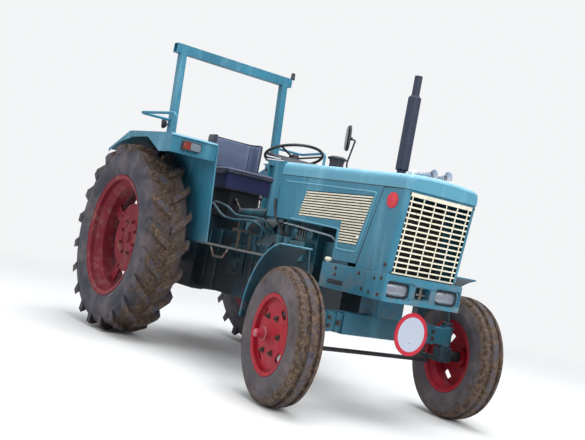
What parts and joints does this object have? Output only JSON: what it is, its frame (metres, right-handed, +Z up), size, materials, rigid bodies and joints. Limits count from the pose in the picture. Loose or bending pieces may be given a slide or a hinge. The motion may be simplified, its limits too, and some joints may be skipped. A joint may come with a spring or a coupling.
{
  "type": "farm tractor",
  "caption": "Two-wheel-drive farm tractor with an angular bonnet, upright exhaust, roll bar, mudguards on all wheels, steered front axle and rear linkage.",
  "frame": {"origin": "middle of the bounding box on the ground, under the gearbox", "axes": "+X forward, +Y to the tractor's left, +Z up"},
  "size_m": [3.4186, 1.65, 2.2349],
  "materials": {
    "body_paint": "petrol blue gloss, weathered",
    "engine_paint": "blue paint under oil and dust",
    "rim_paint": "red, dusty",
    "cream_paint": "cream, weathered",
    "black_paint": "matt black",
    "steel": "worn bare steel",
    "chrome": "polished",
    "tyre": "worn rubber with dried soil",
    "seat_vinyl": "grey vinyl with piping",
    "lamp_glass": "ribbed clear glass",
    "lamp_amber": "amber and white lens",
    "black_plastic": "moulded",
    "sign_white": "blank white with a red ring"
  },
  "bodies": {
    "chassis": {"engine_block": "engine_paint", "engine_fittings": "engine_paint", "gearbox": "engine_paint", "rear_axle": "engine_paint", "drawbar": "steel", "front_frame": "body_paint", "lamp_housing": "body_paint", "headlamps": "lamp_glass", "front_cowl": "body_paint", "grille": "cream_paint", "radiator": "black_paint", "hood_top": "body_paint", "side_panels": "body_paint", "louvre_slats": "cream_paint", "dash_cowl": "body_paint", "steering_column": "black_plastic", "seat_base": "black_paint", "seat_cushion": "seat_vinyl", "seat_back": "seat_vinyl", "foot_plates": "body_paint", "control_levers": "steel", "fender_left": "body_paint", "fender_right": "body_paint", "fender_lamps": "lamp_amber", "handrails": "body_paint", "roll_bar": "body_paint", "exhaust_stack": "black_paint", "air_cleaner": "black_paint", "mirror": "black_plastic", "horns": "chrome", "sign_plate": "sign_white", "front_axle": "body_paint"},
    "steering_wheel": {"steering_wheel": "black_plastic"},
    "tie_rod": {"tie_rod": "black_paint"},
    "lower_links": {"lower_links": "body_paint"},
    "lift_arms": {"lift_arms": "body_paint"},
    "lift_rods": {"lift_rods": "steel"},
    "knuckle_left": {"knuckle_left": "engine_paint", "front_fender_left": "body_paint"},
    "wheel_front_left": {"rim_front_left": "rim_paint", "tyre_front_left": "tyre"},
    "wheel_rear_left": {"rim_rear_left": "rim_paint", "tyre_rear_left": "tyre"},
    "knuckle_right": {"knuckle_right": "engine_paint", "front_fender_right": "body_paint"},
    "wheel_front_right": {"rim_front_right": "rim_paint", "tyre_front_right": "tyre"},
    "wheel_rear_right": {"rim_rear_right": "rim_paint", "tyre_rear_right": "tyre"}
  },
  "joints": [
    {"name": "rear_wheel_left_spin", "type": "hinge", "parent": "chassis", "child": "wheel_rear_left", "pos_m": [-0.87934, 0.66, 0.7], "axis": [0, 1, 0], "continuous": true},
    {"name": "steer_left", "type": "hinge", "parent": "chassis", "child": "knuckle_left", "pos_m": [1.32066, 0.54, 0.375], "axis": [0, 0, 1], "range_deg": [-29.7, 46.3]},
    {"name": "front_wheel_left_spin", "type": "hinge", "parent": "knuckle_left", "child": "wheel_front_left", "pos_m": [1.33582, 0.6439, 0.375], "axis": [0.1444, 0.9895, 0], "continuous": true},
    {"name": "rear_wheel_right_spin", "type": "hinge", "parent": "chassis", "child": "wheel_rear_right", "pos_m": [-0.87934, -0.66, 0.7], "axis": [0, 1, 0], "continuous": true},
    {"name": "steer_right", "type": "hinge", "parent": "chassis", "child": "knuckle_right", "pos_m": [1.32066, -0.54, 0.375], "axis": [0, 0, 1], "range_deg": [-29.7, 46.3]},
    {"name": "front_wheel_right_spin", "type": "hinge", "parent": "knuckle_right", "child": "wheel_front_right", "pos_m": [1.3055, -0.6439, 0.375], "axis": [0.1444, 0.9895, 0], "continuous": true},
    {"name": "steering_wheel_turn", "type": "hinge", "parent": "chassis", "child": "steering_wheel", "pos_m": [0.12066, 0, 1.48], "axis": [-0.309, 0, 0.9511], "range_deg": [-356.4, 555.6]},
    {"name": "tie_rod_swing", "type": "hinge", "parent": "knuckle_left", "child": "tie_rod", "pos_m": [1.16233, 0.5631, 0.315], "axis": [0, 0, 1], "range_deg": [-46.3, 29.7]},
    {"name": "lower_links_lift", "type": "hinge", "parent": "chassis", "child": "lower_links", "pos_m": [-0.91934, 0, 0.455], "axis": [0, 1, 0], "range_deg": [-12, 35]},
    {"name": "lift_arms_turn", "type": "hinge", "parent": "chassis", "child": "lift_arms", "pos_m": [-0.91934, 0, 0.945], "axis": [0, 1, 0], "range_deg": [-12, 35]},
    {"name": "lift_rods_swing", "type": "hinge", "parent": "lift_arms", "child": "lift_rods", "pos_m": [-1.21934, 0, 0.945], "axis": [0, 1, 0], "range_deg": [-35, 12]}
  ],
  "couplings": [
    {"joint": "steer_right", "follows": "steer_left", "ratio": 1},
    {"joint": "tie_rod_swing", "follows": "steer_left", "ratio": -1},
    {"joint": "steering_wheel_turn", "follows": "steer_left", "ratio": 12},
    {"joint": "lift_arms_turn", "follows": "lower_links_lift", "ratio": 1},
    {"joint": "lift_rods_swing", "follows": "lower_links_lift", "ratio": -1}
  ]
}
